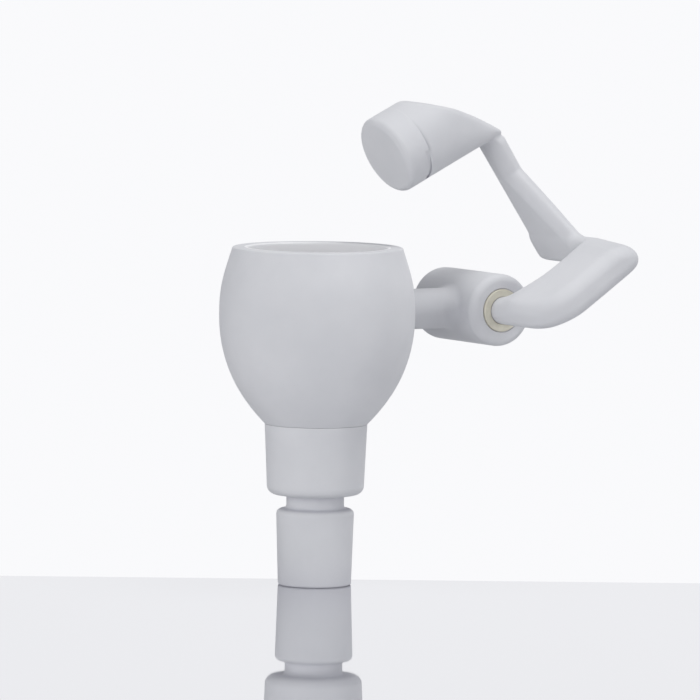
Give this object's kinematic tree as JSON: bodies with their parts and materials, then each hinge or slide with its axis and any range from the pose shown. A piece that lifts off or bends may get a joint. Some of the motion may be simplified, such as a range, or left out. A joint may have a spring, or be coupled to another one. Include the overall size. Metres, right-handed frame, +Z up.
{
  "type": "swing-arm capped bowl",
  "caption": "Egg-shaped bowl on a stepped taper-joint stem, with a friction-hinged crank arm that swings a round capping head over the dish inside the bowl.",
  "frame": {"origin": "centre of the taper plug's bottom face, on the bowl's axis", "axes": "+Z up along the bowl's axis; +X from the bowl out to the hinge; -Y towards the hinge's open front face"},
  "size_m": [0.0735, 0.0466, 0.0903],
  "materials": {
    "white_body": "matte, unglazed, cool white",
    "bushing": "satin, warm ivory",
    "gasket": "matte",
    "spacer": "matte",
    "steel": "satin",
    "brass": "satin"
  },
  "bodies": {
    "stand": {"stepped_stem": "white_body", "stem_gasket": "gasket", "bowl_shell": "white_body", "stem_nut": "steel", "dish_spacer": "spacer", "inner_dish": "white_body", "air_post": "steel", "hinge_bracket": "white_body", "bracket_insert": "brass", "saddle_washer": "steel", "bracket_screw": "steel", "front_bushing": "bushing", "rear_bushing": "bushing", "rear_cap": "white_body"},
    "arm": {"crank_arm": "white_body", "head_cup": "white_body", "head_seal": "gasket", "shaft_insert": "brass", "disc_spring": "steel", "end_washer": "steel", "end_screw": "steel"}
  },
  "joints": [
    {"name": "arm_swing", "type": "hinge", "parent": "stand", "child": "arm", "pos_m": [0.0348, 0, 0.051], "axis": [0, -1, 0], "range_deg": [-116, 64]}
  ]
}
